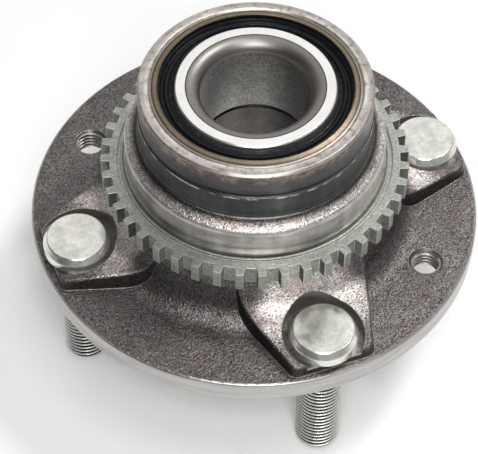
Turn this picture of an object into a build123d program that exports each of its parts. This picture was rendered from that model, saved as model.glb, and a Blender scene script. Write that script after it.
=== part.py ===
"""A wheel hub bearing with a flanged outer ring that turns with the wheel.

Lengths are in millimetres and angles in degrees. The origin is the centre of the machined
wheel face, on the axis of rotation. +Z points inboard, away from the wheel, and the wheel
studs stand on the X and Y axes.
"""

import os
from math import cos, radians, sin

from build123d import *

# Wheel studs and threaded holes
stud_circle_radius = 50.0
stud_radius = 6.0
stud_head_radius = 8.95
stud_head_height = 4.35
stud_head_chamfer_height = 1.7
stud_head_chamfer_width = 1.5
stud_knurl_height = 0.45  # how far the knurl stands out of the shank
stud_end = 35.5  # how far the stud reaches below the wheel face
stud_lead_length = 1.6
stud_lead_depth = 1.1
stud_hole_chamfer = 0.6
counterbore_gap = 1.65  # round the stud's head
counterbore_floor = 8.3
screw_hole_radius = 4.0
screw_hole_chamfer = 0.5
screw_hole_count = 2
screw_hole_angle = -45.0

# Bearing
spindle_bore_radius = 14.0
ball_radius = 5.0
ball_pitch_rise = 8.2  # from the spindle's bore out to the balls' centres
ball_count = 11
contact_angle = 40.0
groove_conformity = 1.04  # radius of a raceway's groove over the ball's
raceway_gap = 0.08  # between a ball and a raceway, along the line of contact
joint_height = 29.3  # where the two inner rings meet
row_offset = 10.5  # from that joint to each row of balls
inner_ring_corner = 3.85  # large radius that clears the spindle's fillet
inner_ring_chamfer = 0.35
inner_ring_stand = 0.05  # above the hub's rim
land_drop = 1.5  # from the balls' centres in to the land that the seal's lip runs on
low_land_drop = 4.3  # from the balls' centres in to the land at the joint
outer_land_rise = 2.0  # from the balls' centres out to the land in the hub
seal_bore_rise = 5.0  # from the balls' centres out to the seal's bore
seal_bore_chamfer = 0.4
cage_inner_drop = 1.05
cage_outer_rise = 2.7
cage_open_depth = 2.0  # how far the fingers reach past the balls' centres
cage_back = 6.4  # from the balls' centres to the back of the cage
pocket_gap = 0.18

# Seals
seal_width = 5.0
seal_gap = 0.8  # from the back of the cage
case_thickness = 0.7
case_lip_width = 2.25  # how far the case reaches in over the rubber
case_lip_rise = 0.55
case_inset = 0.3  # below the rim
lip_gap = 0.06
lip_groove_depth = 0.9
lip_inner_groove_depth = 0.7
lip_edge = 0.4
lip_waist_top = 1.7  # from the top of the rubber down to its narrowest part
lip_waist_bottom = 2.3
lip_foot = 0.3
lip_rounding = 0.3
lip_ridge_rounding = 0.22

# Turned outside of the hub, from the inboard rim down to the tone ring's stop
barrel_wall = 3.2  # outside the seal's bore
rim_step = 0.2
rim_bevel = 0.55
turned_groove_drop = 8.1  # from the rim down to the foot of the thin groove
turned_groove_width = 0.6
turned_groove_depth = 0.45
barrel_fillet = 1.6
shoulder_height = 2.7
shoulder_fillet = 1.2
seat_step = 4.1  # from the barrel out to the seat that the tone ring is pressed on
band_step = 0.3
band_height = 5.3
relief_step = 0.7
relief_width = 1.2
relief_slope = 0.6
seat_spare = 1.1  # how much of the seat shows above the tone ring
stop_height = 20.5
stop_step = 1.5
stop_edge = 0.84  # upright edge under the stop, down to where the forged face starts

# Wheel side
pilot_wall = 2.4
pilot_length = 8.0
pilot_chamfer = 1.0
cap_bore_step = 0.4  # the cap's bore is wider than the seal's
pilot_undercut_width = 1.6
pilot_undercut_depth = 0.5

# Flange and stud bosses
flange_margin = 10.3  # from the stud circle to the flange's edge
flange_edge_height = 6.2  # from the wheel face to the flange's inboard edge
flange_edge_chamfer = 0.4
flange_edge_rounding = 0.9
flange_rise = 0.6  # how much the forged face climbs from the edge to the hub's root
flange_root_reach = 5.0  # from the tone ring's stop to where the forged face starts to curve up
flange_root_fillet = 7.0
boss_count = 4
boss_end_inset = 1.8  # from the flange's edge to the foot of the boss's outer end
boss_end_half_width = 11.5
boss_root_half_width = 20.8  # where the boss runs into the hub
boss_root_inset = 6.0  # how far inside the tone ring's stop that is
boss_corner_radius = 3.2
boss_end_height = 9.2  # top of the boss at its outer end
boss_root_height = 12.0  # top of the boss where it starts to curve up into the hub
boss_draft = 9.0
boss_edge_fillet = 0.7

# Tone ring
tone_tooth_count = 44
tone_tooth_angle = -1.55  # from the first stud to the nearest tooth
tone_wall = 3.8  # from the seat to the roots of the teeth
tone_tooth_height = 2.35
tone_tooth_foot = 0.5  # how far each tooth reaches into the ring
tone_tip_width = 2.05
tone_root_width = 2.75
tone_width = 5.6
tone_bead_inset = 0.65  # from the seat to the middle of the bead
tone_bead_size = 0.35
tone_groove_width = 0.85  # round the outside of the bead
tone_groove_depth = 0.7

press_gap = 0.02  # between pieces that are pressed together

# Sizes and places that follow from those above
groove_radius = ball_radius * groove_conformity
groove_offset = groove_radius - ball_radius - raceway_gap
ball_pitch_radius = spindle_bore_radius + ball_pitch_rise
outer_land_radius = ball_pitch_radius + outer_land_rise
seal_bore_radius = ball_pitch_radius + seal_bore_rise
inner_ring_land_radius = ball_pitch_radius - land_drop
inner_ring_low_land_radius = ball_pitch_radius - low_land_drop
inboard_row = joint_height + row_offset
seal_foot = inboard_row + cage_back + seal_gap
seal_top = seal_foot + seal_width
rim_height = seal_top + case_inset
ring_top = rim_height + inner_ring_stand
barrel_radius = seal_bore_radius + barrel_wall
rim_radius = barrel_radius - rim_step
cap_bore_radius = seal_bore_radius + cap_bore_step
pilot_radius = cap_bore_radius + pilot_wall
seat_radius = barrel_radius + seat_step
band_radius = seat_radius - band_step
relief_radius = seat_radius - relief_step
stop_radius = seat_radius + stop_step
relief_bottom = stop_height + press_gap + tone_width + seat_spare
relief_top = relief_bottom + relief_width
band_bottom = relief_top + relief_slope
band_top = band_bottom + band_height
barrel_bottom = band_top + shoulder_height
turned_groove_foot = rim_height - turned_groove_drop
tone_root_radius = seat_radius + tone_wall
tone_tip_radius = tone_root_radius + tone_tooth_height
tone_bead_radius = seat_radius + tone_bead_inset
tone_groove_radius = tone_bead_radius + tone_bead_size + tone_groove_width
flange_radius = stud_circle_radius + flange_margin
flange_root_radius = stop_radius + flange_root_reach
flange_root_height = flange_edge_height + flange_rise
boss_end_radius = flange_radius - boss_end_inset
stud_knurl_radius = stud_radius + stud_knurl_height
counterbore_radius = stud_head_radius + counterbore_gap


def turned(*corners):
    """A solid turned about Z. Each corner is its radius, its height and its rounding."""
    points = [(corner[0], 0, corner[1]) for corner in corners]
    rounding = [corner[2] if len(corner) > 2 else 0 for corner in corners]
    outline = FilletPolyline(*points, radius=rounding, close=True)
    return revolve(make_face(outline), Axis.Z)


def drilled(radius, bottom, top, chamfer):
    """A round cutter between two faces, with both of its mouths chamfered."""
    return turned(
        (0, bottom - chamfer),
        (radius + 2 * chamfer, bottom - chamfer),
        (radius, bottom + chamfer),
        (radius, top - chamfer),
        (radius + 2 * chamfer, top + chamfer),
        (0, top + chamfer),
    )


def outboard(piece):
    """The same piece in the outboard half of the bearing."""
    return mirror(piece, Plane.XY.offset(joint_height))


def raceway(side):
    """Cutter for one ball groove of the inboard row: side is 1 on the hub, -1 on the ring."""
    radius = ball_pitch_radius - side * groove_offset * cos(radians(contact_angle))
    height = inboard_row + side * groove_offset * sin(radians(contact_angle))
    return Pos(0, 0, height) * Torus(radius, groove_radius)


def hub_blank():
    """The flange, barrel and pilot as turned, before the bosses and the bore."""
    groove_top = turned_groove_foot + turned_groove_width
    return turned(
        (0, -pilot_length),
        (pilot_radius - pilot_chamfer, -pilot_length),
        (pilot_radius, pilot_chamfer - pilot_length),
        (pilot_radius, pilot_undercut_depth),
        (pilot_radius + pilot_undercut_width, pilot_undercut_depth),
        (pilot_radius + pilot_undercut_width, 0),
        (flange_radius - flange_edge_chamfer, 0),
        (flange_radius, flange_edge_chamfer),
        (flange_radius, flange_edge_height, flange_edge_rounding),
        (flange_root_radius, flange_root_height, flange_root_fillet),
        (stop_radius, stop_height - stop_edge),
        (stop_radius, stop_height),
        (seat_radius, stop_height),
        (seat_radius, relief_bottom),
        (relief_radius, relief_bottom),
        (relief_radius, relief_top),
        (band_radius, band_bottom),
        (band_radius, band_top, shoulder_fillet),
        (barrel_radius, barrel_bottom, barrel_fillet),
        (barrel_radius, turned_groove_foot),
        (barrel_radius - turned_groove_depth, turned_groove_foot),
        (barrel_radius - turned_groove_depth, groove_top),
        (rim_radius, groove_top),
        (rim_radius, rim_height - rim_bevel),
        (rim_radius - rim_bevel, rim_height),
        (0, rim_height),
    )


def on_boss_rim(edge):
    """Whether an edge goes round a boss's top, where it meets the sides and the outer end."""
    middle = edge.center()
    high = middle.Z > boss_end_height - boss_edge_fillet
    outside = middle.X > stop_radius - boss_root_inset / 2
    return high and outside and abs(middle.Y) > boss_end_half_width / 4


def boss():
    """One stud boss along +X: sloping top, straight tapered sides, draft and round corners."""
    depth = flange_edge_height / 2
    root = stop_radius - boss_root_inset
    top = turned(
        (root, depth),
        (flange_radius, depth),
        (flange_radius, boss_end_height),
        (flange_root_radius, boss_root_height, flange_root_fillet),
        (stop_radius, stop_height - stop_edge),
        (root, stop_height - stop_edge),
    )
    half_root = boss_root_half_width
    half_end = boss_end_half_width
    plan = FilletPolyline(
        (root, -half_root),
        (boss_end_radius, -half_end),
        (boss_end_radius, half_end),
        (root, half_root),
        radius=boss_corner_radius,
    )
    plan += Line(plan @ 1, plan @ 0)
    block = top & extrude(Pos(0, 0, depth) * make_face(plan), stop_height, taper=boss_draft)
    return fillet([edge for edge in block.edges() if on_boss_rim(edge)], boss_edge_fillet)


def bearing_bore():
    """Cutter for everything turned inside the hub, from rim to pilot."""
    top = rim_height + 1
    wide = seal_bore_radius
    half = turned(
        (0, joint_height),
        (outer_land_radius, joint_height),
        (outer_land_radius, inboard_row),
        (wide, inboard_row),
        (wide, rim_height - seal_bore_chamfer),
        (wide + seal_bore_chamfer + 1, top),
        (0, top),
    )
    half += raceway(1)
    cap_seat = 2 * joint_height - rim_height
    pilot_bore = turned(
        (0, -pilot_length - 1),
        (cap_bore_radius + 1 + pilot_chamfer / 2, -pilot_length - 1),
        (cap_bore_radius, -pilot_length + pilot_chamfer / 2),
        (cap_bore_radius, cap_seat),
        (0, cap_seat),
    )
    return half + outboard(half) + pilot_bore


def hub_flange():
    """The rotating outer ring: flange, barrel, pilot and both outer raceways in one forging."""
    hub = hub_blank()
    hub += [Rot(0, 0, 360 * i / boss_count) * boss() for i in range(boss_count)]
    hub -= bearing_bore()
    counterbore = extrude(Circle(counterbore_radius), stop_height)
    hole = drilled(stud_knurl_radius + press_gap, 0, stop_height, stud_hole_chamfer)
    seat = Pos(0, 0, counterbore_floor) * counterbore + hole
    hub -= [place * seat for place in stud_places()]
    across = (flange_radius - stud_circle_radius) / (flange_radius - flange_root_radius)
    surface = flange_edge_height + flange_rise * across
    screw_hole = drilled(screw_hole_radius, 0, surface, screw_hole_chamfer)
    hub -= [place * screw_hole for place in screw_places()]
    return hub


def stud_places():
    """Where the wheel studs stand."""
    return PolarLocations(stud_circle_radius, boss_count)


def screw_places():
    """Where the two threaded holes are, midway between studs."""
    return PolarLocations(stud_circle_radius, screw_hole_count, start_angle=screw_hole_angle)


def wheel_stud():
    """One knurled stud, head up: its knurl is in the flange and ends at the wheel face."""
    head_top = counterbore_floor + stud_head_height
    return turned(
        (0, -stud_end),
        (stud_radius - stud_lead_depth, -stud_end),
        (stud_radius, stud_lead_length - stud_end),
        (stud_radius, 0),
        (stud_knurl_radius, stud_knurl_height),
        (stud_knurl_radius, counterbore_floor + press_gap),
        (stud_head_radius, counterbore_floor + press_gap),
        (stud_head_radius, head_top - stud_head_chamfer_height),
        (stud_head_radius - stud_head_chamfer_width, head_top),
        (0, head_top),
    )


def inner_ring():
    """The inboard half of the split inner ring, with its raceway facing outward."""
    chamfer = inner_ring_chamfer
    ring = turned(
        (spindle_bore_radius + chamfer, joint_height),
        (inner_ring_low_land_radius - chamfer, joint_height),
        (inner_ring_low_land_radius, joint_height + chamfer),
        (inner_ring_low_land_radius, inboard_row),
        (inner_ring_land_radius, inboard_row),
        (inner_ring_land_radius, ring_top - chamfer),
        (inner_ring_land_radius - chamfer, ring_top),
        (spindle_bore_radius, ring_top, inner_ring_corner),
        (spindle_bore_radius, joint_height + chamfer),
    )
    return ring - raceway(-1)


def ball_places():
    """Where the balls of the inboard row sit."""
    return Pos(0, 0, inboard_row) * PolarLocations(ball_pitch_radius, ball_count)


def cage():
    """The inboard cage: a ring behind the balls, with fingers that hold them from one side."""
    inside = ball_pitch_radius - cage_inner_drop
    outside = ball_pitch_radius + cage_outer_rise
    ring = turned(
        (inside, inboard_row - cage_open_depth),
        (outside, inboard_row - cage_open_depth),
        (outside, inboard_row + cage_back),
        (inside, inboard_row + cage_back),
    )
    return ring - [place * Sphere(ball_radius + pocket_gap) for place in ball_places()]


def seal_case():
    """Pressed steel case of the inboard seal: a sleeve with its lip turned inward."""
    outside = seal_bore_radius - press_gap
    inside = outside - case_thickness
    lip = seal_bore_radius - case_lip_width
    return turned(
        (inside, seal_foot),
        (outside, seal_foot),
        (outside, seal_top, 0.5 * case_thickness),
        (lip, seal_top + case_lip_rise, 0.3 * case_thickness),
        (lip, seal_top + case_lip_rise - case_thickness),
        (inside, seal_top - case_thickness),
    )


def seal_lip():
    """Rubber of the inboard seal, from its case to two lips that run on the inner ring."""
    outside = seal_bore_radius - case_thickness - 2 * press_gap
    land = inner_ring_land_radius + lip_gap
    top = seal_top - case_thickness - press_gap
    span = outside - land
    return turned(
        (outside, seal_foot),
        (outside, top),
        (outside - 0.32 * span, top, lip_ridge_rounding),
        (outside - 0.42 * span, top - lip_groove_depth, lip_rounding),
        (outside - 0.52 * span, top - lip_groove_depth, lip_rounding),
        (outside - 0.58 * span, top, lip_ridge_rounding),
        (outside - 0.70 * span, top, lip_ridge_rounding),
        (outside - 0.76 * span, top - lip_groove_depth, lip_rounding),
        (outside - 0.88 * span, top - lip_inner_groove_depth, lip_rounding),
        (land, top),
        (land, top - lip_edge),
        (outside - 0.86 * span, top - lip_waist_top, lip_rounding),
        (outside - 0.84 * span, top - lip_waist_bottom, lip_rounding),
        (land, seal_foot + lip_foot + lip_edge),
        (land, seal_foot + lip_foot),
        (outside - 0.7 * span, seal_foot + 3 * lip_foot, lip_rounding),
        (outside - 0.5 * span, seal_foot, lip_rounding),
    )


def tone_tooth():
    """Plan of one tone ring tooth along +X, with flanks that taper to the tip."""
    root = tone_root_radius - tone_tooth_foot
    return make_face(
        Polyline(
            (root, -tone_root_width / 2),
            (tone_tip_radius, -tone_tip_width / 2),
            (tone_tip_radius, tone_tip_width / 2),
            (root, tone_root_width / 2),
            close=True,
        )
    )


def tone_ring():
    """Toothed ring for the wheel speed sensor, grooved and beaded round its inboard bore."""
    places = PolarLocations(0, tone_tooth_count, start_angle=tone_tooth_angle)
    teeth = [place * tone_tooth() for place in places]
    plan = Circle(tone_root_radius) + teeth - Circle(seat_radius + press_gap)
    bottom = stop_height + press_gap
    top = bottom + tone_width
    groove = turned(
        (seat_radius, top - tone_groove_depth),
        (tone_groove_radius, top - tone_groove_depth),
        (tone_groove_radius, top + tone_groove_depth),
        (seat_radius, top + tone_groove_depth),
    )
    bead = turned(
        (tone_bead_radius - tone_bead_size, top - 2 * tone_groove_depth),
        (tone_bead_radius + tone_bead_size, top - 2 * tone_groove_depth),
        (tone_bead_radius + tone_bead_size, top, 0.8 * tone_bead_size),
        (tone_bead_radius - tone_bead_size, top, 0.8 * tone_bead_size),
    )
    return extrude(Pos(0, 0, bottom) * plan, tone_width) - groove + bead


def numbered(name, pieces):
    """Gives each of several like pieces its own node name."""
    return {f"{name}_{i + 1:02d}": piece for i, piece in enumerate(pieces)}


def all_pieces():
    """Every node of the wheel bearing, by name."""
    halves = {"inner_ring": inner_ring(), "cage": cage()}
    halves |= {"seal_case": seal_case(), "seal_lip": seal_lip()}
    pieces = {"hub_flange": hub_flange(), "tone_ring": tone_ring()}
    for name, piece in halves.items():
        pieces[f"{name}_inboard"] = piece
        pieces[f"{name}_outboard"] = outboard(piece)
    balls = [place * Sphere(ball_radius) for place in ball_places()]
    pieces |= numbered("ball_inboard", balls)
    pieces |= numbered("ball_outboard", [outboard(ball) for ball in balls])
    pieces |= numbered("wheel_stud", [place * wheel_stud() for place in stud_places()])
    return pieces


os.makedirs("parts", exist_ok=True)
for node, solid in all_pieces().items():
    export_step(solid, f"parts/{node}.step")
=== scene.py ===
from math import cos, pi, radians, sin

import bmesh
import bpy
from mathutils import Matrix, Quaternion, Vector


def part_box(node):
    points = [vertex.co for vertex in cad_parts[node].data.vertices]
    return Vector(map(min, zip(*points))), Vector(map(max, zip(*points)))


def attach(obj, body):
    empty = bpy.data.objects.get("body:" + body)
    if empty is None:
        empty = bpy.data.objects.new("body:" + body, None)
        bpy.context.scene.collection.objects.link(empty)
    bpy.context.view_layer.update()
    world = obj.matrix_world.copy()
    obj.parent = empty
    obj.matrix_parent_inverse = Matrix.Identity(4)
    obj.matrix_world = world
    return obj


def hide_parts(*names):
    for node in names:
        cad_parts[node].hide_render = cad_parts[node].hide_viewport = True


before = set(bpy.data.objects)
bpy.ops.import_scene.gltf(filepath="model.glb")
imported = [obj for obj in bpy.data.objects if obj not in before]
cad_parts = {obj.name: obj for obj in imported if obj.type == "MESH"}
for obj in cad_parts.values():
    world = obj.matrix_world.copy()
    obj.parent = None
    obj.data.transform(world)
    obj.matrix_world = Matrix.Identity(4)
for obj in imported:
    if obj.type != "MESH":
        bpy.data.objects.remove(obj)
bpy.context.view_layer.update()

# The studio: the hub stands on its stud ends on a white table, under a long lens. A soft box
# stands in front, one hangs overhead, and a small one at the right throws the shadow. The walls
# are bright at the back right and dark at the left.
view_target = Vector((-0.0038, 0.0014, -0.0051))
view_azimuth = -110.63
view_elevation = 51.44
view_distance = 0.5311
view_roll = radians(0.38)
view_lens = 144.9
table_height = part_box("wheel_stud_01")[0].z - 0.0002
scene = bpy.context.scene
scene.view_settings.view_transform = "Standard"


def towards(azimuth, elevation):
    """Unit vector towards a place in the studio, by its angles in degrees."""
    flat = cos(radians(elevation))
    azimuth = radians(azimuth)
    return Vector((cos(azimuth) * flat, sin(azimuth) * flat, sin(radians(elevation))))


view_direction = towards(view_azimuth, view_elevation)
camera_data = bpy.data.cameras.new("camera")
camera_data.lens = view_lens
camera_data.sensor_width = 36
camera_data.clip_start = 0.01
camera = bpy.data.objects.new("camera", camera_data)
camera.location = view_target + view_direction * view_distance
camera.rotation_mode = "QUATERNION"
level = (-view_direction).to_track_quat("-Z", "Y")
camera.rotation_quaternion = level @ Quaternion((0, 0, 1), view_roll)
scene.collection.objects.link(camera)
scene.camera = camera


def soft_lamp(name, azimuth, elevation, distance, width, power):
    """A square studio lamp that points at the middle of the hub."""
    lamp_data = bpy.data.lights.new(name, "AREA")
    lamp_data.size = width
    lamp_data.energy = power
    lamp = bpy.data.objects.new(name, lamp_data)
    direction = towards(azimuth, elevation)
    lamp.location = direction * distance
    lamp.rotation_euler = (-direction).to_track_quat("-Z", "Y").to_euler()
    scene.collection.objects.link(lamp)


lamp_distance = 1.60
soft_lamp("key_lamp", 10, 60, lamp_distance, 0.36, 9.0)
soft_lamp("top_lamp", -78, 76, lamp_distance, 0.54, 4.5)
soft_lamp("front_lamp", -108, 53, lamp_distance, 0.64, 13.5)


class Wiring:
    """Adds nodes to a tree. A source is a value, which is set, or a socket, which is linked."""

    def __init__(self, tree):
        self.tree = tree

    def feed(self, socket, source):
        if isinstance(source, bpy.types.NodeSocket):
            self.tree.links.new(source, socket)
        elif source is not None:
            socket.default_value = source

    def node(self, kind, *sources, **settings):
        made = self.tree.nodes.new(kind)
        for key, value in settings.items():
            setattr(made, key, value)
        for socket, source in zip(made.inputs, sources):
            self.feed(socket, source)
        return made

    def math(self, operation, *sources):
        return self.node("ShaderNodeMath", *sources, operation=operation).outputs[0]

    def plus(self, a, b):
        return self.math("ADD", a, b)

    def less(self, a, b):
        return self.math("SUBTRACT", a, b)

    def times(self, a, b):
        return self.math("MULTIPLY", a, b)

    def step(self, value, edge, soft):
        """0 below the edge and 1 above it, with a soft change between."""
        ends = (value, edge - soft, edge + soft, 0.0, 1.0)
        return self.node("ShaderNodeMapRange", *ends, interpolation_type="SMOOTHSTEP").outputs[0]

    def below(self, value, edge, soft):
        """1 below the edge and 0 above it."""
        return self.less(1.0, self.step(value, edge, soft))

    def within(self, value, low, high, soft):
        return self.less(self.step(value, low, soft), self.step(value, high, soft))

    def scaled(self, value, low, high, to_low, to_high):
        return self.node("ShaderNodeMapRange", value, low, high, to_low, to_high).outputs[0]

    def spread(self, value, low, high):
        """From 0 at the low value to 1 at the high one."""
        return self.scaled(value, low, high, 0.0, 1.0)

    def mix(self, share, a, b):
        """Blend of two colours."""
        made = self.node("ShaderNodeMix", data_type="RGBA")
        for place, source in ((0, share), (6, a), (7, b)):
            self.feed(made.inputs[place], source)
        return made.outputs[2]

    def blend(self, share, a, b):
        """Blend of two values."""
        made = self.node("ShaderNodeMix")
        for place, source in ((0, share), (2, a), (3, b)):
            self.feed(made.inputs[place], source)
        return made.outputs[0]

    def noise(self, vector, scale, detail, roughness=0.5):
        made = self.node("ShaderNodeTexNoise")
        sources = {"Vector": vector, "Scale": scale, "Detail": detail, "Roughness": roughness}
        for key, value in sources.items():
            self.feed(made.inputs[key], value)
        return made.outputs["Fac"]

    def vector(self, x, y, z):
        return self.node("ShaderNodeCombineXYZ", x, y, z).outputs[0]

    def parts(self, vector):
        return self.node("ShaderNodeSeparateXYZ", vector).outputs

    def vector_math(self, operation, *sources):
        return self.node("ShaderNodeVectorMath", *sources, operation=operation).outputs[0]

    def dot(self, a, b):
        return self.node("ShaderNodeVectorMath", a, b, operation="DOT_PRODUCT").outputs["Value"]

    def shaded(self, colour, shade):
        """A colour times a value."""
        return self.vector_math("MULTIPLY", colour, self.vector(shade, shade, shade))

    def length(self, x, y):
        return self.math("SQRT", self.plus(self.times(x, x), self.times(y, y)))

    def polar(self, radius, angle, height):
        """A point by its radius, angle and height."""
        cosine, sine = self.math("COSINE", angle), self.math("SINE", angle)
        return self.vector(self.times(radius, cosine), self.times(radius, sine), height)

    def relief(self, shader, height, strength, distance, normal=None):
        """Lets a height stand out of the surface."""
        made = self.node("ShaderNodeBump")
        sources = {"Strength": strength, "Distance": distance, "Height": height, "Normal": normal}
        for key, source in sources.items():
            self.feed(made.inputs[key], source)
        self.feed(shader["Normal"], made.outputs[0])

    def group(self, tree, **sources):
        made = self.node("ShaderNodeGroup", node_tree=tree)
        for key, value in sources.items():
            self.feed(made.inputs[key.replace("_", " ")], value)
        return made.outputs


COLOUR, VALUE, DIRECTION = "NodeSocketColor", "NodeSocketFloat", "NodeSocketVector"


def effect(name, inputs, outputs):
    """A shader node group with named sockets: its tree, wiring, inputs and output sockets."""
    tree = bpy.data.node_groups.new(name, "ShaderNodeTree")
    for socket, kind, value in inputs:
        tree.interface.new_socket(socket, in_out="INPUT", socket_type=kind).default_value = value
    for socket, kind in outputs:
        tree.interface.new_socket(socket, in_out="OUTPUT", socket_type=kind)
    given = tree.nodes.new("NodeGroupInput").outputs
    return tree, Wiring(tree), given, tree.nodes.new("NodeGroupOutput").inputs


def new_material(name, **constants):
    """A material, its wiring and its shader's sockets, with the sockets that stay constant set."""
    made = bpy.data.materials.new(name)
    made.use_nodes = True
    sockets = made.node_tree.nodes["Principled BSDF"].inputs
    for key, value in constants.items():
        sockets[key.replace("_", " ")].default_value = value
    return made, Wiring(made.node_tree), sockets


world = bpy.data.worlds.new("studio_walls")
world.use_nodes = True
scene.world = world
w = Wiring(world.node_tree)
facing = w.node("ShaderNodeTexCoord").outputs["Generated"]
lit = w.dot(facing, towards(55, 45))
left = w.dot(facing, towards(190, 20))
plain_wall, bright_wall, dark_wall, even_light = 0.30, 0.88, 0.03, 0.18
glow = w.scaled(w.step(lit, 0.68, 0.14), 0.0, 1.0, plain_wall, bright_wall)
glow = w.scaled(w.step(left, 0.74, 0.16), 0.0, 1.0, glow, dark_wall)
# Polished metal mirrors those walls, and matt surfaces get an even light from them.
glow = w.blend(w.node("ShaderNodeLightPath").outputs["Is Diffuse Ray"], glow, even_light)
background = world.node_tree.nodes["Background"].inputs
w.feed(background["Color"], w.vector(glow, glow, glow))

table_mesh = bpy.data.meshes.new("table")
table_reach = 3
corners = [(-1, -1), (1, -1), (1, 1), (-1, 1)]
corners = [(x * table_reach, y * table_reach, table_height) for x, y in corners]
table_mesh.from_pydata(corners, [], [(0, 1, 2, 3)])
table = bpy.data.objects.new("table", table_mesh)
scene.collection.objects.link(table)
table_paint, w, shader = new_material("table_paint", Roughness=0.6, Emission_Strength=0.05)
rays = w.node("ShaderNodeLightPath").outputs
seen = w.math("MAXIMUM", rays["Is Camera Ray"], rays["Is Glossy Ray"])
seen = w.math("MAXIMUM", seen, rays["Is Transmission Ray"])
w.feed(shader["Base Color"], w.mix(seen, (0.95, 0.95, 0.95, 1), (0.97, 0.97, 0.97, 1)))
w.feed(shader["Emission Color"], w.vector(seen, seen, seen))
table_mesh.materials.append(table_paint)

# The hub and outer ring is one steel forging. Its flange and bosses keep the blasted skin of the
# forge, and the barrel, rim, flange edge, spot faces and wheel side are turned or drilled. The
# slopes round the bosses and the shoulder carry a painted highlight, and the steep sides of the
# bosses and the top edge of the shoulder carry painted shade.
place_tree, w, given, result = effect("place_in_mm", [], [
    ("Radius", VALUE), ("Height", VALUE), ("Along", DIRECTION), ("Point", DIRECTION)])
in_metres = w.node("ShaderNodeTexCoord").outputs["Object"]
point = w.vector_math("MULTIPLY", in_metres, (1000.0, 1000.0, 1000.0))
x, y, z = w.parts(point)
radius = w.length(x, y)
w.feed(result["Radius"], radius)
w.feed(result["Height"], z)
w.feed(result["Along"], w.vector(w.math("DIVIDE", x, radius), w.math("DIVIDE", y, radius), 0.0))
w.feed(result["Point"], point)

# How far a point in mm is from the axis of the nearest wheel stud.
stud_circle = 50.0
stud_tree, w, given, result = effect("from_stud", [
    ("Point", DIRECTION, (0, 0, 0))], [
    ("Distance", VALUE)])
x, y, _ = w.parts(given["Point"])
to_x = w.length(w.less(w.math("ABSOLUTE", x), stud_circle), y)
to_y = w.length(x, w.less(w.math("ABSOLUTE", y), stud_circle))
w.feed(result["Distance"], w.math("MINIMUM", to_x, to_y))

# Sharp edges: where a rounded normal leaves the true one, a sharp edge is near. Some materials
# lighten their colour there, as wear and partly as a painted highlight.
edge_tree, w, given, result = effect("sharp_edges", [("Width", VALUE, 0.0003)], [
    ("Mask", VALUE), ("Normal", DIRECTION)])
rounded = w.node("ShaderNodeBevel", given["Width"], samples=4).outputs[0]
true = w.node("ShaderNodeNewGeometry").outputs["Normal"]
agree = w.dot(rounded, true)
w.feed(result["Mask"], w.step(w.less(1.0, agree), 0.05, 0.05))
w.feed(result["Normal"], rounded)

# The blasted skin of a forging: pits, fine grit, slow clouds and a little rust.
skin_tree, w, given, result = effect("forged_skin", [
    ("Point", DIRECTION, (0, 0, 0)), ("Dark", COLOUR, (0.1, 0.09, 0.09, 1)),
    ("Light", COLOUR, (0.4, 0.38, 0.36, 1)), ("Rust", COLOUR, (0.14, 0.08, 0.07, 1))], [
    ("Color", COLOUR), ("Roughness", VALUE), ("Height", VALUE)])
pits = w.noise(given["Point"], 2.3, 2.0, 0.6)
grit = w.noise(given["Point"], 1.1, 3.0, 0.7)
cloud = w.noise(given["Point"], 0.11, 3.0)
rust = w.noise(given["Point"], 0.23, 4.0)
spark = w.spread(w.plus(pits, w.times(grit, 0.5)), 0.58, 0.94)
colour = w.mix(spark, given["Dark"], given["Light"])
colour = w.mix(w.times(w.step(rust, 0.56, 0.08), 0.35), colour, given["Rust"])
w.feed(result["Color"], w.shaded(colour, w.scaled(cloud, 0.35, 0.65, 0.82, 1.12)))
w.feed(result["Roughness"], w.scaled(pits, 0.3, 0.7, 0.40, 0.26))
w.feed(result["Height"], w.plus(pits, grit))

# Turned or ground metal: fine lines round the axis, and streaks that run along them.
turning_tree, w, given, result = effect("turning_marks", [
    ("Radius", VALUE, 0.0), ("Height", VALUE, 0.0), ("Along", DIRECTION, (0, 0, 0)),
    ("Fineness", VALUE, 6.0)], [
    ("Lines", VALUE), ("Streaks", VALUE)])
across = w.plus(given["Height"], given["Radius"])
aslant = w.times(w.less(given["Height"], given["Radius"]), 0.7)
lines = w.noise(w.vector(w.times(across, given["Fineness"]), aslant, 0.0), 1.0, 2.0)
around = w.vector_math("MULTIPLY", given["Along"], (2.6, 2.6, 2.6))
streak_place = w.vector_math("ADD", around, w.vector(0.0, 0.0, w.times(across, 0.35)))
w.feed(result["Lines"], lines)
w.feed(result["Streaks"], w.noise(streak_place, 1.5, 3.0))

# Where the finishes of the hub meet, in mm up from the wheel face and out from the axis.
spot_face_radius, spot_face_height = 10.68, 7.9
screw_offset, screw_mouth_radius = 35.36, 4.55
edge_top, edge_radius = 6.1, 59.0
skin_foot, skin_top = 6.15, 19.60
band_foot = 20.0
shoulder_foot, shoulder_top, shoulder_radius = 34.6, 36.9, 30.5
barrel_top, barrel_radius = 44.0, 29.0
glint_foot, glint_top = 43.55, 43.95
groove_foot, groove_top = 43.96, 45.40
blue_foot, brown_foot, scorch_foot = 48.4, 51.6, 49.4
rim_top, rim_worn_radius = 51.75, 28.4
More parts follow.
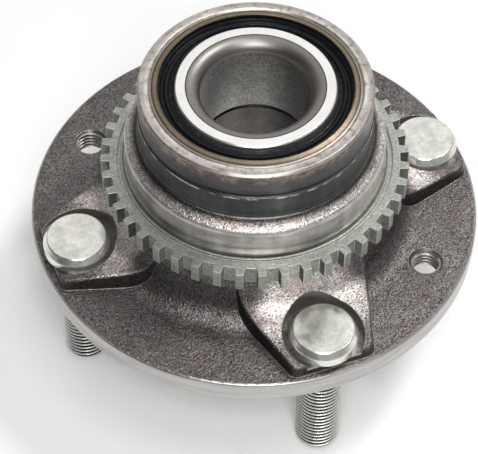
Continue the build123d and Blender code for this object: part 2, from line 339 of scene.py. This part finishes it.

# The metals as they are cut, and as handling, oil and heat have left them. Some carry painted
# shade, light and a glint, for the spot faces, the barrel's groove and, with wear, the edges.
bright_cut = (0.66, 0.63, 0.59, 1)
edge_cut = (0.46, 0.45, 0.43, 1)
band_cut = (0.42, 0.405, 0.385, 1)
oiled = (0.060, 0.064, 0.063, 1)
blued = (0.085, 0.08, 0.085, 1)
browned = (0.13, 0.10, 0.092, 1)
scorched = (0.30, 0.225, 0.195, 1)
scuffed_rim = (0.30, 0.24, 0.20, 1)
rim_inner, rim_outer = (0.69, 0.66, 0.61, 1), (0.51, 0.475, 0.44, 1)
shaded_floor_dark, shaded_floor_light = (0.08, 0.072, 0.068, 1), (0.17, 0.155, 0.145, 1)
lit_recess_wall = (0.36, 0.35, 0.33, 1)
drilled = (0.13, 0.12, 0.11, 1)
painted_groove_glint, groove_painted_shade = (0.62, 0.62, 0.60, 1), (0.010, 0.010, 0.010, 1)
edge_wear_and_highlight = (0.6, 0.57, 0.54, 1)

hub_steel, w, shader = new_material("hub_steel", Metallic=0.88)
place = w.group(place_tree)
radius, height = place["Radius"], place["Height"]
x, y, _ = w.parts(place["Point"])
edges = w.group(edge_tree, Width=0.00035)
skin = w.group(skin_tree, Point=place["Point"], Dark=(0.055, 0.047, 0.045, 1),
               Light=(0.30, 0.283, 0.270, 1), Rust=(0.13, 0.085, 0.07, 1))
marks = w.group(turning_tree, Radius=radius, Height=height, Along=place["Along"])
streaks = marks["Streaks"]
from_stud = w.group(stud_tree, Point=place["Point"])["Distance"]
to_screw_x = w.less(w.math("ABSOLUTE", x), screw_offset)
to_screw_y = w.less(w.math("ABSOLUTE", y), screw_offset)
other_bosses = w.times(w.step(w.times(x, y), 0.0, 1.0), 100.0)
from_screw = w.plus(w.length(to_screw_x, to_screw_y), other_bosses)
scuffs = w.spread(w.noise(place["Point"], 0.5, 5.0, 0.7), 0.34, 0.50)
grain = w.noise(place["Point"], 1.8, 3.0, 0.7)
around = w.vector_math("MULTIPLY", place["Along"], (11.0, 11.0, 11.0))
normal = w.node("ShaderNodeNewGeometry").outputs["Normal"]
upright = w.below(w.parts(normal)[2], 0.38, 0.16)

# Which faces are cut, and which keep their skin.
spot_face = w.below(from_stud, spot_face_radius, 0.03)
spot_face = w.times(spot_face, w.step(height, spot_face_height, 0.1))
screw_hole = w.below(from_screw, screw_mouth_radius, 0.03)
flange_skin = w.within(height, skin_foot, skin_top, 0.06)
shoulder_skin = w.within(height, shoulder_foot, shoulder_top, 0.35)
shoulder_skin = w.times(shoulder_skin, w.step(radius, shoulder_radius, 0.2))
skinned = w.less(w.math("MAXIMUM", flange_skin, shoulder_skin), spot_face)
skinned = w.times(skinned, w.less(1.0, screw_hole))

# The cut faces, from the flange's edge up to the rim, which heat has coloured.
flange_edge = w.times(w.below(height, edge_top, 0.2), w.step(radius, edge_radius, 0.2))
cut = w.mix(flange_edge, bright_cut, edge_cut)
cut = w.mix(w.step(height, band_foot, 0.3), cut, band_cut)
cut = w.mix(w.step(height, shoulder_top, 0.1), cut, oiled)
heat = w.plus(height, w.times(streaks, 3.0))
cut = w.mix(w.step(heat, blue_foot, 1.4), cut, blued)
cut = w.mix(w.step(heat, brown_foot, 0.9), cut, browned)
scorch = w.step(w.noise(place["Point"], 0.35, 5.0, 0.7), 0.52, 0.07)
scorch = w.times(scorch, w.step(height, scorch_foot, 1.2))
cut = w.mix(w.times(scorch, 0.75), cut, scorched)
rim_face = w.mix(w.step(radius, rim_worn_radius, 0.5), rim_inner, rim_outer)
cut = w.mix(w.step(height, rim_top, 0.1), cut, w.mix(scuffs, scuffed_rim, rim_face))

# The spot faces round the studs, their floor painted dark as shade round the heads and their
# wall lighter as if lit, and the mouths of the tapped holes.
recess = w.mix(upright, w.mix(scuffs, shaded_floor_dark, shaded_floor_light), lit_recess_wall)
cut = w.mix(spot_face, cut, recess)
cut = w.mix(screw_hole, cut, drilled)

# The band and barrel carry painted reflections that vary round the axis. A thin groove runs
# round the barrel, painted black as shade, also a little above it, with a broken painted glint
# along its lower edge.
painted_reflection_bands = w.scaled(w.noise(around, 1.0, 1.0), 0.30, 0.70, 0.84, 1.18)
cut = w.shaded(cut, w.blend(w.within(height, band_foot, barrel_top, 0.3), 1.0, painted_reflection_bands))
outside = w.step(radius, barrel_radius, 0.3)
ragged = w.plus(height, w.scaled(grain, 0.3, 0.7, -0.22, 0.22))
broken = w.step(w.noise(around, 1.1, 3.0), 0.5, 0.08)
glint = w.times(w.within(ragged, glint_foot, glint_top, 0.08), broken)
cut = w.mix(w.times(glint, outside), cut, painted_groove_glint)
groove = w.times(w.within(ragged, groove_foot, groove_top, 0.05), outside)
cut = w.mix(groove, cut, groove_painted_shade)
cut = w.shaded(cut, w.scaled(streaks, 0.3, 0.7, 0.8, 1.15))

# The forged skin carries painted shade on the steep sides of the bosses and a painted
# highlight on the slopes that run up to the barrel. The shoulder is painted dark at its top
# edge as shade and bright below it as a highlight.
steep = w.times(upright, w.within(height, 6.8, 16.0, 0.3))
near_boss = w.times(w.below(from_stud, 17.0, 3.0), w.step(height, 8.5, 1.0))
highlight_reach = w.plus(radius, w.times(skin["Roughness"], 30.0))
near_boss = w.times(near_boss, w.below(highlight_reach, 58.0, 5.0))
boss_painted_highlight = w.times(near_boss, w.scaled(radius, 38.0, 44.0, 3.6, 2.2))
shoulder_painted_light = w.scaled(height, 36.3, 35.1, -0.55, 2.7)
skin_painted_light = w.blend(w.step(height, 30.0, 1.0), boss_painted_highlight, shoulder_painted_light)
skin_painted_light = w.times(skin_painted_light, w.less(1.0, upright))
forged = w.shaded(skin["Color"], w.plus(w.scaled(steep, 0.0, 1.0, 0.80, 0.33), skin_painted_light))

colour = w.mix(skinned, cut, forged)
# Edges are lighter, as wear and partly as a painted highlight.
w.feed(shader["Base Color"], w.mix(w.times(edges["Mask"], 0.5), colour, edge_wear_and_highlight))
cut_roughness = w.scaled(streaks, 0.3, 0.7, 0.26, 0.40)
w.feed(shader["Roughness"], w.blend(skinned, cut_roughness, skin["Roughness"]))
texture = w.blend(skinned, w.times(marks["Lines"], 0.25), w.times(skin["Height"], 1.6))
w.relief(shader, texture, 0.55, 0.0002, edges["Normal"])


def finish(material, *nodes):
    """Gives pieces of the frame their finish."""
    for node in nodes:
        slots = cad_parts[node].data.materials
        slots.clear()
        slots.append(material)


finish(hub_steel, "hub_flange")

# The two holes midway between studs are tapped for the screws that hold the drum: a coarse M8
# thread cut into the forging, whose crests show inside the hole.
GEOMETRY, COUNT, MATERIAL = "NodeSocketGeometry", "NodeSocketInt", "NodeSocketMaterial"


def blank_tree(name, inputs):
    """A geometry tree with named inputs: its tree, wiring, inputs and output sockets."""
    tree = bpy.data.node_groups.new(name, "GeometryNodeTree")
    tree.interface.new_socket("Geometry", in_out="INPUT", socket_type=GEOMETRY)
    for socket, kind, value in inputs:
        made = tree.interface.new_socket(socket, in_out="INPUT", socket_type=kind)
        if value is not None:
            made.default_value = value
    tree.interface.new_socket("Geometry", in_out="OUTPUT", socket_type=GEOMETRY)
    given = tree.nodes.new("NodeGroupInput").outputs
    return tree, Wiring(tree), given, tree.nodes.new("NodeGroupOutput").inputs


# A helical thread as a grid. Its rows climb with the turn, four rows to a pitch: the root is flat
# for a quarter of it and the crest for an eighth. Both ends are cut off square at the root. With
# a lead its first row closes to a point.
rows_to_a_pitch, crest_flat, crest_shift = 4.0, 0.125, 0.1875
thread_sizes = [
    ("Crest Radius", VALUE, 0.006), ("Root Radius", VALUE, 0.005), ("Pitch", VALUE, 0.0015),
    ("Start", VALUE, 0.0), ("End", VALUE, 0.01), ("Lead", VALUE, 0.0), ("Segments", COUNT, 72)]
thread_tree, w, given, result = blank_tree("screw_thread", thread_sizes)
pitches = w.math("DIVIDE", w.less(given["End"], given["Start"]), given["Pitch"])
rows = w.times(w.plus(w.math("CEIL", pitches), 2.0), rows_to_a_pitch)
grid = w.node("GeometryNodeMeshGrid", 1.0, 1.0, w.plus(given["Segments"], 1.0), w.plus(rows, 1.0))
grid_x, grid_y, _ = w.parts(w.node("GeometryNodeInputPosition").outputs[0])
around = w.plus(grid_x, 0.5)
row = w.math("ROUND", w.times(w.plus(grid_y, 0.5), rows))
turn = w.math("FLOOR", w.math("DIVIDE", w.plus(row, 0.1), rows_to_a_pitch))
part = w.less(row, w.times(turn, rows_to_a_pitch))
on_crest = w.math("GREATER_THAN", part, 1.5)
crest_share = w.less(crest_shift, w.times(w.less(part, 2.0), crest_flat))
share = w.plus(w.times(part, 1 / rows_to_a_pitch), w.times(on_crest, crest_share))
climb = w.less(w.plus(w.plus(turn, share), around), 1.5)
free_height = w.plus(given["Start"], w.times(given["Pitch"], climb))
height = w.math("MINIMUM", w.math("MAXIMUM", free_height, given["Start"]), given["End"])
above_start = w.math("GREATER_THAN", free_height, given["Start"])
inside = w.times(above_start, w.math("LESS_THAN", free_height, given["End"]))
crest = w.blend(w.times(on_crest, inside), given["Root Radius"], given["Crest Radius"])
lead = w.less(w.plus(given["Crest Radius"], w.less(height, given["Start"])), given["Lead"])
tapered = w.math("GREATER_THAN", given["Lead"], 0.00001)
crest = w.blend(tapered, crest, w.math("MINIMUM", crest, lead))
crest = w.blend(w.times(tapered, w.math("LESS_THAN", row, 0.5)), crest, 0.0)
angle = w.times(around, 2 * pi)
spot = w.polar(crest, angle, height)
w.feed(result[0], w.node("GeometryNodeSetPosition", grid.outputs["Mesh"], True, spot).outputs[0])

# A turned body: the outline given as a line of points, radius along X, is swept round Z.
lathe_tree, w, given, result = blank_tree("turned_body", [
    ("Points", COUNT, 2), ("Segments", COUNT, 72)])
grid = w.node("GeometryNodeMeshGrid", 1.0, 1.0, w.plus(given["Segments"], 1.0), given["Points"])
grid_x, grid_y, _ = w.parts(w.node("GeometryNodeInputPosition").outputs[0])
row = w.math("ROUND", w.times(w.plus(grid_y, 0.5), w.less(given["Points"], 1.0)))
outline_point = w.node("GeometryNodeSampleIndex", data_type="FLOAT_VECTOR")
w.feed(outline_point.inputs["Geometry"], given["Geometry"])
w.feed(outline_point.inputs["Value"], w.node("GeometryNodeInputPosition").outputs[0])
w.feed(outline_point.inputs["Index"], row)
radius, _, height = w.parts(outline_point.outputs[0])
angle = w.times(w.plus(grid_x, 0.5), 2 * pi)
spot = w.polar(radius, angle, height)
w.feed(result[0], w.node("GeometryNodeSetPosition", grid.outputs["Mesh"], True, spot).outputs[0])

# The thread and the turned body in one, joined where they meet, with a straight knurl between
# two heights, where every other column of points stands back.
merge_distance = 0.000004
threaded_tree, w, given, result = blank_tree("threaded_piece", thread_sizes + [
    ("Points", COUNT, 2), ("Knurl Start", VALUE, 1.0), ("Knurl End", VALUE, 1.0),
    ("Knurl Depth", VALUE, 0.0), ("Material", MATERIAL, None)])
thread = w.node("GeometryNodeGroup", node_tree=thread_tree)
for name, _, _ in thread_sizes:
    w.feed(thread.inputs[name], given[name])
body = w.node("GeometryNodeGroup", node_tree=lathe_tree)
for name in ("Geometry", "Points", "Segments"):
    w.feed(body.inputs[name], given[name])
joined = w.node("GeometryNodeJoinGeometry", thread.outputs[0])
w.feed(joined.inputs[0], body.outputs[0])
merged = w.node("GeometryNodeMergeByDistance", joined.outputs[0])
merged.inputs["Distance"].default_value = merge_distance
x, y, height = w.parts(w.node("GeometryNodeInputPosition").outputs[0])
columns = w.times(w.math("ARCTAN2", y, x), w.math("DIVIDE", given["Segments"], 2 * pi))
ridge = w.math("ROUND", w.math("PINGPONG", columns, 1.0))
radius = w.length(x, y)
wide = w.math("GREATER_THAN", radius, w.plus(given["Crest Radius"], 0.0001))
above_start = w.math("GREATER_THAN", height, given["Knurl Start"])
between = w.times(above_start, w.math("LESS_THAN", height, given["Knurl End"]))
depth = w.times(w.times(ridge, given["Knurl Depth"]), w.times(wide, between))
inward = w.math("DIVIDE", w.times(depth, -1.0), w.math("MAXIMUM", radius, 0.0001))
cut = w.node("GeometryNodeSetPosition", merged.outputs[0], True)
w.feed(cut.inputs["Offset"], w.vector(w.times(x, inward), w.times(y, inward), 0.0))
real = w.node("GeometryNodeRealizeInstances", cut.outputs[0])
painted = w.node("GeometryNodeSetMaterial", real.outputs[0])
w.feed(painted.inputs["Material"], given["Material"])
w.feed(result[0], painted.outputs[0])


def threaded_mesh(name, outline, material, **sizes):
    """Runs the tree on one outline and returns the finished, plain mesh."""
    line = bpy.data.meshes.new(name + "_outline")
    edges = [(i, i + 1) for i in range(len(outline) - 1)]
    line.from_pydata([(radius, 0, height) for radius, height in outline], edges, [])
    maker = bpy.data.objects.new(name + "_maker", line)
    scene.collection.objects.link(maker)
    modifier = maker.modifiers.new("thread", "NODES")
    modifier.node_group = threaded_tree
    sockets = {
        item.name: item.identifier
        for item in threaded_tree.interface.items_tree
        if item.in_out == "INPUT"
    }
    sizes |= {"Points": len(outline), "Material": material}
    for key, value in sizes.items():
        modifier[sockets[key.replace("_", " ")]] = value
    bpy.context.view_layer.update()
    evaluated = maker.evaluated_get(bpy.context.evaluated_depsgraph_get())
    mesh = bpy.data.meshes.new_from_object(evaluated)
    bpy.data.objects.remove(maker)
    shape = bmesh.new()
    shape.from_mesh(mesh)
    bmesh.ops.remove_doubles(shape, verts=shape.verts, dist=merge_distance)
    bmesh.ops.dissolve_degenerate(shape, dist=merge_distance / 2, edges=shape.edges)
    bmesh.ops.recalc_face_normals(shape, faces=shape.faces)
    shape.to_mesh(mesh)
    shape.free()
    mesh.name = name
    return mesh


def shown(name, mesh, body):
    """Puts a finished mesh in the scene as a piece that moves with a body."""
    piece = bpy.data.objects.new(name, mesh)
    scene.collection.objects.link(piece)
    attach(piece, body)
    return piece


def set_on_circle(mesh, angle):
    """Moves a mesh from the axis out to the stud circle, at an angle in degrees."""
    out = Matrix.Translation((stud_circle / 1000, 0, 0))
    mesh.transform(Matrix.Rotation(radians(angle), 4, "Z") @ out)


screw_wall = 0.00399
screw_root = 0.00388
screw_crest = 0.00338
screw_low = 0.0006
screw_high = 0.0060
cut_steel, w, shader = new_material("cut_steel", Metallic=0.85)
place = w.group(place_tree)
fleck = w.noise(place["Point"], 1.3, 2.0)
w.feed(shader["Base Color"], w.mix(fleck, (0.16, 0.15, 0.14, 1), (0.38, 0.36, 0.34, 1)))
w.feed(shader["Roughness"], w.scaled(w.noise(place["Point"], 2.0, 2.0), 0.3, 0.7, 0.22, 0.4))
screw_outline = [
    (screw_root, screw_high), (screw_wall, screw_high),
    (screw_wall, screw_low), (screw_root, screw_low)]
for i, angle in enumerate((-45, 135)):
    lining = threaded_mesh(f"screw_thread_{i + 1}", screw_outline, cut_steel,
                           Crest_Radius=screw_crest, Root_Radius=screw_root, Pitch=0.00125,
                           Start=screw_low, End=screw_high, Segments=48)
    set_on_circle(lining, angle)
    shown(f"screw_thread_{i + 1}", lining, "hub")

# Wheel studs: cold-headed steel with a rolled M12 x 1.5 thread and a straight knurl. They are
# pressed in from the inboard side until the head seats on its spot face. Bright zinc plated.
stud_thread = 0.0060
stud_root = 0.00508
stud_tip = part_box("wheel_stud_01")[0].z
stud_thread_end = -0.0020
stud_neck = stud_thread - 0.0003
stud_lead = 0.0011
knurl_radius = 0.00645
seat_height = 0.00832
head_radius = 0.00895
head_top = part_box("wheel_stud_01")[1].z
zinc, w, shader = new_material("bright_zinc", Metallic=0.85)
place = w.group(place_tree)
from_stud = w.group(stud_tree, Point=place["Point"])["Distance"]
edges = w.group(edge_tree, Width=0.0003)
blotch = w.noise(place["Point"], 0.35, 4.0, 0.6)
speck = w.noise(place["Point"], 1.6, 3.0, 0.6)
scuff = w.noise(place["Point"], 0.16, 3.0, 0.6)
colour = w.mix(w.spread(blotch, 0.35, 0.65), (0.66, 0.67, 0.62, 1), (0.92, 0.92, 0.86, 1))
colour = w.mix(w.times(w.step(scuff, 0.58, 0.10), 0.35), colour, (0.55, 0.49, 0.38, 1))
colour = w.mix(w.times(w.step(speck, 0.64, 0.05), 0.35), colour, (0.40, 0.40, 0.35, 1))
below = w.below(place["Height"], 0.0, 0.3)
colour = w.mix(below, colour, (0.90, 0.90, 0.86, 1))
# The roots of the thread are painted near black as shade.
root = w.times(below, w.below(from_stud, 5.72, 0.22))
colour = w.mix(root, colour, (0.03, 0.03, 0.027, 1))
# Edges are lighter, as wear and partly as a painted highlight.
colour = w.mix(w.times(edges["Mask"], 0.4), colour, (0.92, 0.92, 0.88, 1))
w.feed(shader["Base Color"], colour)
w.feed(shader["Roughness"], w.scaled(blotch, 0.3, 0.7, 0.15, 0.24))
w.relief(shader, w.plus(blotch, w.times(speck, 0.5)), 0.22, 0.0001, edges["Normal"])
stud_outline = [
    (stud_root, stud_thread_end), (stud_neck, stud_thread_end + 0.0006),
    (stud_neck, 0), (knurl_radius, 0.0005), (knurl_radius, seat_height),
    (head_radius, seat_height), (head_radius, head_top - 0.0019),
    (head_radius - 0.0002, head_top - 0.00155), (head_radius - 0.0010, head_top - 0.00030),
    (head_radius - 0.0013, head_top - 0.00008), (0.0060, head_top), (0.0, head_top)]
stud = threaded_mesh("wheel_stud", stud_outline, zinc, Crest_Radius=stud_thread,
                     Root_Radius=stud_root, Pitch=0.0015, Start=stud_tip, End=stud_thread_end,
                     Lead=stud_lead, Segments=72, Knurl_Start=0.0004,
                     Knurl_End=seat_height - 0.0001, Knurl_Depth=0.0003)
for i in range(4):
    mesh = stud.copy()
    set_on_circle(mesh, 90 * i)
    piece = shown(f"stud_{i + 1:02d}", mesh, "hub")
    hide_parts(f"wheel_stud_{i + 1:02d}")

# The tone ring is pressed from steel, with 44 teeth that the wheel speed sensor reads. It is
# tumbled, matt zinc plated and pressed over its seat, so its faces are grainy and its edges worn
# and lighter, partly as a painted highlight. The sides of its teeth carry painted shade.
matt_zinc, w, shader = new_material("matt_zinc", Metallic=0.75)
place = w.group(place_tree)
edges = w.group(edge_tree, Width=0.00035)
grain = w.noise(place["Point"], 1.5, 3.0, 0.7)
cloud = w.noise(place["Point"], 0.3, 3.0)
facing = w.vector_math("ABSOLUTE", w.node("ShaderNodeNewGeometry").outputs["Normal"])
along = w.dot(facing, w.vector_math("ABSOLUTE", place["Along"]))
# The sides of the teeth are painted darker as shade.
flank_painted_shade = w.times(w.below(w.parts(facing)[2], 0.5, 0.2), w.below(along, 0.7, 0.2))
colour = w.mix(w.spread(grain, 0.30, 0.70), (0.24, 0.25, 0.225, 1), (0.52, 0.53, 0.485, 1))
colour = w.shaded(colour, w.scaled(cloud, 0.3, 0.7, 0.85, 1.1))
colour = w.shaded(colour, w.scaled(flank_painted_shade, 0.0, 1.0, 1.0, 0.35))
colour = w.mix(w.times(edges["Mask"], 0.6), colour, (0.95, 0.95, 0.90, 1))
w.feed(shader["Base Color"], colour)
w.feed(shader["Roughness"], w.scaled(grain, 0.3, 0.7, 0.55, 0.38))
w.relief(shader, grain, 0.5, 0.0001, edges["Normal"])
finish(matt_zinc, "tone_ring")

# The two inner rings are hardened bearing steel, butted together on the spindle. The end faces
# and races are ground bright, and the bore and its lead-in radius are left a duller grey.
ring_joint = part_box("inner_ring_inboard")[0].z * 1000
ring_bore = 14.0
face_inside = 17.86
ground_steel, w, shader = new_material("ground_steel", Metallic=0.95)
place = w.group(place_tree)
radius, height = place["Radius"], place["Height"]
edges = w.group(edge_tree, Width=0.0002)
marks = w.group(turning_tree, Radius=radius, Height=height, Along=place["Along"], Fineness=9.0)
lead_in = w.below(radius, face_inside, 0.05)
bore = w.below(radius, ring_bore + 0.25, 0.15)
grain = w.noise(place["Point"], 1.6, 3.0, 0.7)
colour = w.mix(lead_in, (0.95, 0.94, 0.92, 1), (0.24, 0.225, 0.21, 1))
upper_bore = w.mix(w.spread(grain, 0.35, 0.65), (0.50, 0.49, 0.46, 1), (1.0, 0.98, 0.94, 1))
shaded_lower_bore = w.mix(grain, (0.10, 0.095, 0.09, 1), (0.42, 0.40, 0.38, 1))
colour = w.mix(bore, colour, upper_bore)
# The outboard ring's bore, deeper in the hole, is painted darker as shade.
colour = w.mix(w.times(bore, w.below(height, ring_joint, 0.1)), colour, shaded_lower_bore)
# The bore is painted lighter on one side and darker on the other, as light and shade.
bore_painted_light = w.dot(place["Along"], towards(135, 0))
bore_painted_light = w.scaled(w.plus(bore_painted_light, w.times(marks["Streaks"], 0.5)), 0.0, 1.1, 0.42, 1.25)
colour = w.shaded(colour, w.blend(bore, 1.0, bore_painted_light))
corner_line = w.within(radius, face_inside - 0.16, face_inside + 0.16, 0.06)
colour = w.mix(corner_line, colour, (0.06, 0.055, 0.05, 1))
joint = w.within(height, ring_joint - 0.6, ring_joint + 0.6, 0.08)
joint = w.times(joint, w.below(radius, ring_bore + 1.5, 0.3))
colour = w.mix(joint, colour, (0.012, 0.011, 0.010, 1))
colour = w.shaded(colour, w.scaled(marks["Streaks"], 0.3, 0.7, 0.92, 1.04))
w.feed(shader["Base Color"], colour)
w.feed(shader["Roughness"], w.blend(lead_in, w.scaled(marks["Lines"], 0.3, 0.7, 0.24, 0.34), 0.38))
w.relief(shader, w.blend(bore, w.times(marks["Lines"], 0.3), grain), 0.35, 0.0001, edges["Normal"])
finish(ground_steel, "inner_ring_inboard", "inner_ring_outboard")

# Each cage is one ring moulded in glass-filled polyamide, natural in colour. Its fingers snap
# round eleven balls and keep them evenly spaced.
polyamide, w, shader = new_material("polyamide", Metallic=0.0)
place = w.group(place_tree)
swirl = w.noise(place["Point"], 0.35, 4.0, 0.6)
fibre = w.noise(place["Point"], 2.4, 2.0)
w.feed(shader["Base Color"], w.mix(swirl, (0.50, 0.40, 0.24, 1), (0.68, 0.60, 0.44, 1)))
w.feed(shader["Roughness"], w.scaled(fibre, 0.3, 0.7, 0.42, 0.6))
w.relief(shader, fibre, 0.25, 0.00008)
finish(polyamide, "cage_inboard", "cage_outboard")

# The balls are through-hardened chrome steel, ground and lapped to a mirror. They run in the
# raceways of the hub and the inner rings, with a faint film of grease.
lapped_steel, w, shader = new_material("lapped_steel", Metallic=1.0)
place = w.group(place_tree)
film = w.noise(place["Point"], 0.5, 4.0, 0.6)
w.feed(shader["Base Color"], w.mix(film, (0.66, 0.65, 0.62, 1), (0.82, 0.82, 0.81, 1)))
w.feed(shader["Roughness"], w.scaled(film, 0.3, 0.7, 0.05, 0.16))
balls = [f"ball_{row}_{i + 1:02d}" for row in ("inboard", "outboard") for i in range(11)]
finish(lapped_steel, *balls)

# Each seal is a pressed steel case, yellow passivated, pushed into the mouth of the hub. Its
# skin has gone brown in streaks and patches where it was handled and where grease has dried.
# Bands by radius paint the light on its rounded case: darker inside, a painted highlight on the
# ridge, painted shade in the crevice near the outside, and lighter beyond it.
seal_gold, w, shader = new_material("seal_gold", Metallic=0.85)
place = w.group(place_tree)
edges = w.group(edge_tree, Width=0.0002)
marks = w.group(turning_tree, Radius=place["Radius"], Height=place["Height"],
                Along=place["Along"], Fineness=5.0)
stain = w.noise(place["Point"], 0.28, 4.0, 0.65)
grime = w.noise(place["Point"], 1.4, 3.0, 0.6)
colour = w.mix(w.spread(marks["Streaks"], 0.3, 0.7), (0.13, 0.092, 0.058, 1), (0.22, 0.17, 0.12, 1))
colour = w.mix(w.times(w.step(stain, 0.52, 0.1), 0.6), colour, (0.11, 0.085, 0.06, 1))
colour = w.mix(w.times(w.step(grime, 0.62, 0.06), 0.4), colour, (0.05, 0.045, 0.04, 1))
# Painted light by radius: shade inside, a highlight on the ridge and shade in the crevice.
radius = place["Radius"]
colour = w.mix(w.times(w.below(radius, 25.25, 0.2), 0.6), colour, (0.10, 0.075, 0.05, 1))
colour = w.mix(w.times(w.within(radius, 25.4, 26.0, 0.15), 0.4), colour, (0.34, 0.28, 0.20, 1))
colour = w.mix(w.step(radius, 26.65, 0.08), colour, (0.34, 0.31, 0.27, 1))
colour = w.mix(w.within(radius, 26.25, 26.6, 0.08), colour, (0.07, 0.06, 0.05, 1))
w.feed(shader["Base Color"], colour)
w.feed(shader["Roughness"], w.scaled(grime, 0.3, 0.7, 0.26, 0.44))
w.relief(shader, w.plus(w.times(marks["Lines"], 0.6), grime), 0.4, 0.0001, edges["Normal"])
finish(seal_gold, "seal_case_inboard", "seal_case_outboard")

# The lip bonded in each case is black nitrile rubber with moulded ridges. It is wet with
# grease in patches, and a little dust sticks to it.
nitrile, w, shader = new_material("nitrile", Metallic=0.0, Specular_IOR_Level=0.12)
place = w.group(place_tree)
marks = w.group(turning_tree, Radius=place["Radius"], Height=place["Height"],
                Along=place["Along"], Fineness=3.0)
wet = w.step(w.noise(place["Point"], 0.45, 4.0, 0.6), 0.5, 0.08)
dust = w.step(w.noise(place["Point"], 1.9, 3.0, 0.7), 0.66, 0.05)
colour = w.mix(marks["Streaks"], (0.004, 0.005, 0.006, 1), (0.010, 0.012, 0.014, 1))
colour = w.mix(w.times(dust, 0.35), colour, (0.11, 0.12, 0.12, 1))
crumbs = w.step(w.noise(place["Point"], 2.6, 3.0, 0.7), 0.52, 0.14)
near_ring = w.within(place["Radius"], 20.2, 21.3, 0.3)
colour = w.mix(w.times(w.times(crumbs, near_ring), 0.5), colour, (0.14, 0.13, 0.12, 1))
w.feed(shader["Base Color"], colour)
w.feed(shader["Roughness"], w.blend(wet, 0.42, 0.12))
texture = w.plus(w.times(marks["Lines"], 0.5), w.noise(place["Point"], 0.9, 3.0, 0.6))
w.relief(shader, texture, 0.6, 0.0002)
finish(nitrile, "seal_lip_inboard", "seal_lip_outboard")
